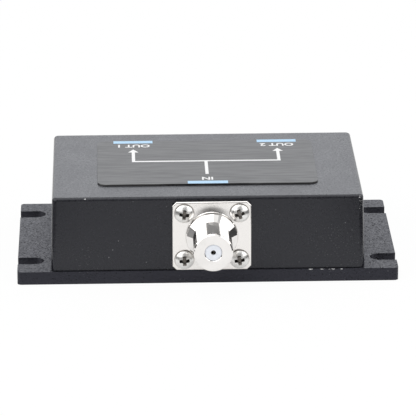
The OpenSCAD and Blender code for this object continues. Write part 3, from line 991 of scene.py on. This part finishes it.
# %% A finish from its parts
class Finish(Tree):
    """A material with one principled shader."""

    def __init__(self, name):
        self.material = bpy.data.materials.get(name) or bpy.data.materials.new(name)
        super().__init__(self.material)

    def axes(self, at):
        """The three coordinates of a place."""
        first = self.node("ShaderNodeSeparateXYZ", sockets={0: at})
        return [Wire(self, output) for output in first.socket.node.outputs]

    def shaken(self, at, scale, amount):
        """A place moved a little by noise, so that what is drawn there gets an uneven outline."""
        cloud = self.node("ShaderNodeTexNoise", sockets={"Vector": at, "Scale": scale}, out="Color")
        off = self.node("ShaderNodeVectorMath", {"operation": "SUBTRACT"}, {0: cloud, 1: (0.5, 0.5, 0.5)})
        sockets = {0: off, 1: (amount, amount, amount), 2: at}
        return self.node("ShaderNodeVectorMath", {"operation": "MULTIPLY_ADD"}, sockets)

    def specks(self, at, cell, size):
        """Small scattered points, one in the middle of each cell of that width."""
        sockets = {"Vector": at, "Scale": 1 / cell}
        away = self.node("ShaderNodeTexVoronoi", sockets=sockets, out="Distance")
        return self.ramp(away, size / cell, 0.4 * size / cell)

    def shade(self, sockets):
        shader = self.node("ShaderNodeBsdfPrincipled", sockets=sockets)
        self.node("ShaderNodeOutputMaterial", sockets={"Surface": shader})
        print("finish", self.material.name, len(self.nodes), "nodes")


print("finishes ready to mix")

# %% [markdown]
# ### Black paint
# The box and its plate have a satin black powder coat. It is hardly coloured, so what one sees is its sheen, broken
# up by a fine orange-peel grain, which is coarser and pitted on the plate. On the front edge of the plate, the rim of
# the roof and the right-hand upright edge the coat is chipped to bare metal. Pale dust lies about, thickest in two
# banks on the front, towards its foot. Each mark has its place in millimetres, so a worn spot is easily moved.

# %% Where the paint is worn and dusty
PLATE_CHIPS = ((24.9, 0.21), (27.6, 0.17), (29.4, 0.10), (30.3, 0.17), (32.3, 0.14))
ROOF_CHIP = (-29.6 * MM, house_low.y + 0.1 * MM, house_high.z - 0.2 * MM)
CHIP_STRETCH = 0.35
ROOF_CHIP_SIZE = 0.3 * MM
RAGGED_SCALE = 2600
RAGGED_BY = 0.4 * MM
WORN_FROM, WORN_TO = (35.6 * MM, 36.6 * MM), (37.9 * MM, 37.5 * MM)
WORN_HEIGHT = (10 * MM, 20 * MM)
WORN_CUT = (0.55, 0.59)
DUST_APART = (1.9 * MM, 0.15 * MM)
DUST_CLOSE = (0.6 * MM, 0.1 * MM)
DUST_PATCHES = (0.48, 0.58)
CLOSE_STRENGTH = 0.45
DUST_BANKS = ((31, 8.5, 10), (-30, 5.5, 6))


def bare_metal(tree, at, on_front):
    """1 where the coat is chipped off the edges."""
    ragged = tree.shaken(at, RAGGED_SCALE, RAGGED_BY)
    chips = tree.spot(ragged, ROOF_CHIP, ROOF_CHIP_SIZE)
    ragged = tree.stretched((CHIP_STRETCH, 1, 1), ragged)
    for chip_x, size in PLATE_CHIPS:
        place = (chip_x * MM * CHIP_STRETCH, plate_low.y, plate_high.z - 0.1 * MM)
        chips = chips | tree.spot(ragged, place, size * MM)
    x, y, z = tree.axes(at)
    by_edge = tree.ramp(x, *WORN_FROM) * tree.ramp(x, *WORN_TO) * tree.ramp(z, *WORN_HEIGHT)
    return chips | on_front * tree.ramp(by_edge * tree.noise(at, RAGGED_SCALE, 1), *WORN_CUT)


def pale_dust(tree, at, on_front):
    """Specks of dust, which lie apart in most places and close together in two faint banks on the front."""
    apart = tree.specks(at, *DUST_APART) * tree.ramp(tree.noise(at, 140), *DUST_PATCHES)
    close = on_front * tree.specks(at, *DUST_CLOSE) * CLOSE_STRENGTH
    for x, z, size in DUST_BANKS:
        apart = apart | close * tree.spot(at, (x * MM, house_low.y, z * MM), size * MM)
    return apart


print(len(PLATE_CHIPS) + 1, "chips placed")

# %% [markdown]
# The paint itself is one function for both pieces. Its grain drives colour, gloss and bump together, and pits take
# away sheen. Where hands have rubbed the upright corners, the coat is smoother.

# %% Black paint
PAINT_DARK = (0.005, 0.005, 0.0075, 1)
PAINT_LIGHT = (0.015, 0.015, 0.0195, 1)
PIT_GREY, DUST_GREY, BARE_GREY = grey(0.003), grey(0.40), grey(0.62)
PIT_EDGE = (0.38, 0.28)
RUBBED_FROM, RUBBED_TO = 37.1 * MM, 37.5 * MM


def black_paint(name, gloss, grain_scale, grain_depth, grain_contrast, pitting, tint):
    coat = Finish(name)
    at = coat.place()
    x, y, z = coat.axes(at)
    rubbed = coat.ramp(x * x, RUBBED_FROM ** 2, RUBBED_TO ** 2) * coat.ramp(z, plate_high.z, house_low.z + MM)
    on_front = coat.ramp(y, house_low.y + 0.5 * MM, house_low.y + 0.3 * MM)
    chips = bare_metal(coat, at, on_front)
    dust = pale_dust(coat, at, on_front)
    grain = coat.noise(at, grain_scale, 3)
    pits = pitting * coat.ramp(coat.noise(at, 2400, 1), *PIT_EDGE)
    drift = coat.noise(at, 90)
    colour = coat.mix(PAINT_DARK, PAINT_LIGHT, grain)
    colour = coat.mix(colour, PIT_GREY, pits)
    colour = coat.mix(colour, DUST_GREY, 0.6 * dust)
    colour = coat.mix(colour, BARE_GREY, chips)
    coat.shade({
        "Base Color": colour,
        "Roughness": gloss + grain_contrast * (grain - 0.5) + 0.10 * (drift - 0.5) + 0.25 * pits
        + 0.2 * dust - 0.2 * rubbed,
        "Metallic": chips,
        "Specular IOR Level": 0.5,
        "Specular Tint": tint,
        "Normal": coat.bump(grain - pits, grain_depth)})
    return coat.material


box_paint = black_paint("box_paint", gloss=0.32, grain_scale=2100, grain_depth=0.04 * MM, grain_contrast=0.35,
                        pitting=0.25, tint=(0.93, 0.945, 1.0, 1.0))
plate_paint = black_paint("plate_paint", gloss=0.46, grain_scale=2000, grain_depth=0.08 * MM, grain_contrast=0.6,
                          pitting=1.8, tint=(0.83, 0.84, 1.0, 1.0))

# %% [markdown]
# ### Nameplate and inks
# The nameplate is brushed and dyed dark, so its colour and gloss change in long fine streaks along the box. A noise
# that is stretched along X gives them. The inks are matt and slightly uneven.

# %% Nameplate and inks
brushed = Finish("dark_brushed_plate")
hairlines = brushed.noise(brushed.stretched((60, 3000, 3000)), 1, 3)
streaks = brushed.noise(brushed.stretched((130, 1300, 1300)), 1, 2)
bands = brushed.noise(brushed.stretched((40, 300, 300)), 1, 2)
brushing = 0.25 * hairlines + 0.55 * streaks + 0.2 * bands
contrast = brushed.ramp(brushing, 0.36, 0.64)
brushed.shade({
    "Base Color": brushed.mix(grey(0.006), grey(0.11), contrast),
    "Roughness": 0.10 + 0.5 * brushing,
    "Metallic": 0.05 + 0.55 * contrast,
    "Specular IOR Level": 0.3,
    "Normal": brushed.bump(hairlines + streaks, 0.012 * MM)})

blue_ink = Finish("pale_blue_ink")
streaks = blue_ink.noise(blue_ink.stretched((40, 2500, 2500)), 1, 2)
blue_ink.shade({
    "Base Color": blue_ink.mix((0.37, 0.56, 0.75, 1), (0.47, 0.68, 0.87, 1), streaks),
    "Roughness": 0.45 + 0.2 * streaks,
    "Specular IOR Level": 0.3})

white_ink = Finish("white_ink")
blotches = white_ink.noise(white_ink.place(), 2600, 2)
white_ink.shade({
    "Base Color": white_ink.mix(grey(0.74), grey(0.88), blotches),
    "Roughness": 0.5 + 0.2 * blotches,
    "Specular IOR Level": 0.3})

# %% [markdown]
# ### Bright metals
# The ports are nickel plated: nearly a mirror, a little warm, with a faint ripple and soft stains. The screws are
# zinc plated, so they are duller, and the contacts are tinned brass. The walls of the screws' cross recesses get a
# dark metal, which is painted shade for their depth. One function makes these and those inside.

# %% Bright metals
def bright_metal(name, dark, light, gloss, spread, ripple):
    """A plated metal whose colour and gloss drift over a few millimetres, with a fine surface ripple."""
    plating = Finish(name)
    at = plating.place()
    stains = plating.noise(at, 260, 3)
    fine = plating.noise(at, 5200, 2)
    plating.shade({
        "Base Color": plating.mix(dark, light, plating.ramp(stains, 0.3, 0.7)),
        "Roughness": gloss + spread * stains + 0.5 * spread * fine,
        "Metallic": 1.0,
        "Normal": plating.bump(fine, ripple)})
    return plating.material


METALS = {  # dark and light colour, gloss, spread of the gloss, depth of the ripple
    "bright_nickel": ((0.83, 0.81, 0.79, 1), (0.89, 0.87, 0.85, 1), 0.02, 0.04, 0.0003 * MM),
    "zinc_plate": ((0.80, 0.79, 0.77, 1), (0.88, 0.87, 0.85, 1), 0.24, 0.08, 0.001 * MM),
    "tin_plate": ((0.60, 0.59, 0.57, 1), (0.78, 0.77, 0.75, 1), 0.12, 0.12, 0.001 * MM),
    "recess_painted_shade": ((0.10, 0.09, 0.08, 1), (0.28, 0.26, 0.24, 1), 0.22, 0.20, 0.003 * MM),
    "soft_solder": ((0.45, 0.45, 0.47, 1), (0.70, 0.70, 0.72, 1), 0.18, 0.20, 0.006 * MM),
    "bare_copper": ((0.50, 0.22, 0.11, 1), (0.78, 0.42, 0.25, 1), 0.22, 0.16, 0.003 * MM)}

metals = {name: bright_metal(name, *look) for name, look in METALS.items()}

# %% [markdown]
# A flange's face is satin and swells slightly towards the collar, so that above it the face mirrors the dark studio
# in front. It is only tenths of a millimetre, so a bump does it. Round the collar and the screw heads the face is
# painted darker: painted shade at their foot and a painted reflection of their dark sides.

# %% Flange plating
SWELL_RADIUS = 8.6 * MM
SWELL_RISE = 0.3 * MM
PAINTED_SHADE_WIDTH = 0.3 * MM

plated = Finish("satin_nickel")
at = plated.place()
grain = plated.noise(at, 900, 2)
# The dark rings round the collar and each screw head are painted shade and a painted reflection, not dirt.
form, painted_shade = None, 0.0
for port in ports.values():
    face = port @ Vector((0, 0, FLANGE_THICKNESS))
    form = plated.bump(plated.spot(at, face, SWELL_RADIUS), SWELL_RISE, form)
    painted_shade = 0.4 * plated.spot(at, face, COLLAR_RADIUS + 1.5 * PAINTED_SHADE_WIDTH, 0.94) | painted_shade
    for x, y in corners(*FLANGE_SCREW_PLACE):
        head = port @ Vector((x, y, FLANGE_THICKNESS))
        painted_shade = plated.spot(at, head, HEAD_RADIUS + PAINTED_SHADE_WIDTH, 0.88) | painted_shade
plated.shade({
    "Base Color": plated.mix((0.885, 0.86, 0.835, 1), (0.16, 0.13, 0.11, 1), 0.75 * painted_shade),
    "Roughness": 0.14 + 0.02 * grain + 0.2 * painted_shade,
    "Metallic": 1.0,
    "Normal": form})

# %% [markdown]
# ### Plastics and board
# The insulators are a waxy white plastic. Inside the closed box, the board is green glass laminate, faintly
# mottled, and the resistors are black ceramic chips. Nobody sees them from outside, but a part that is taken apart
# should show them.

# %% Plastics and board
def dull(name, dark, light, grain_size, roughness, depth):
    """A plain dull material with a fine mottle."""
    made = Finish(name)
    mottle = made.noise(made.place(), 1 / grain_size, 3)
    made.shade({
        "Base Color": made.mix(dark, light, made.ramp(mottle, 0.3, 0.7)),
        "Roughness": roughness - 0.08 + 0.16 * mottle,
        "Normal": made.bump(mottle, depth)})
    return made.material


white_plastic = dull("white_insulator", (0.76, 0.79, 0.85, 1), (0.81, 0.84, 0.90, 1),
                     grain_size=0.6 * MM, roughness=0.36, depth=0.004 * MM)
laminate = dull("green_laminate", (0.03, 0.11, 0.05, 1), (0.06, 0.18, 0.09, 1),
                grain_size=0.5 * MM, roughness=0.45, depth=0.01 * MM)
ceramic = dull("black_ceramic", grey(0.012), grey(0.03), grain_size=0.2 * MM, roughness=0.5, depth=0.01 * MM)

# %% [markdown]
# ## Handing the pieces over
# Every new piece gets its finish and moves with the one body of the part, and the solid of the imported model that it
# stands for, where there is one, is hidden. The board and what is on it keep their solids and only get finishes.

# %% Finishes, bodies and replaced solids
def hand_over(piece, material, slot=None, node=None):
    if material:
        piece.data.materials.append(material)
    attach(piece, "root")
    if node:
        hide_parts(node)


hand_over(housing, box_paint, "paint", "housing")
hand_over(plate, plate_paint, "paint", "base_plate")
hand_over(label, brushed.material, "nameplate", "nameplate")
hand_over(blue_print, blue_ink.material)
hand_over(white_print, white_ink.material)
hand_over(cover_screws, None, "steel", "cover_screws")
port_finishes = {"connector_body": (None, "nickel"), "insulator": (white_plastic, "insulator"),
                 "contact": (metals["tin_plate"], "contact"), "flange_screws": (None, "steel")}
for piece, node in port_pieces:
    kind = next(kind for kind in port_finishes if node.endswith(kind))
    hand_over(piece, *port_finishes[kind], node)

inner_finishes = {"circuit_board": laminate, "divider_track": metals["bare_copper"], "isolation_resistors": ceramic,
                  "solder_joints": metals["soft_solder"], "board_screws": metals["zinc_plate"]}
for node, material in inner_finishes.items():
    for slot in frame["nodes"][node].material_slots:
        slot.material = material
